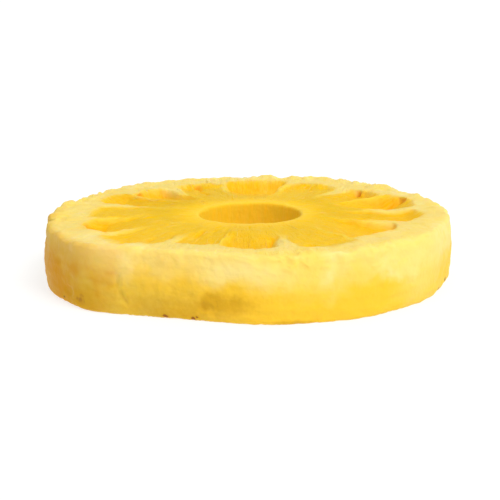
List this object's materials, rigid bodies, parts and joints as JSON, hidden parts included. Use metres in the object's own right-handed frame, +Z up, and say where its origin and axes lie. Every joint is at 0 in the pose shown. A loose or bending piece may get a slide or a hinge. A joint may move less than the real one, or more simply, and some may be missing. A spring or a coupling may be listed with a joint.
{
  "type": "pineapple ring",
  "caption": "Peeled and cored slice of fresh pineapple, a thick ring with fruitlet hollows on its cut faces.",
  "frame": {"origin": "axis of the core hole, on the surface that the ring lies on", "axes": "+Z up out of the cut face, -Y towards the side with the long straight peeling cut"},
  "size_m": [0.0997, 0.098, 0.0172],
  "materials": {
    "pineapple_flesh": "moist cut fruit, pale yellow at the rim and golden in the hollows, roughness 0.45"
  },
  "bodies": {
    "root": {"pineapple_ring": "pineapple_flesh"}
  },
  "joints": []
}
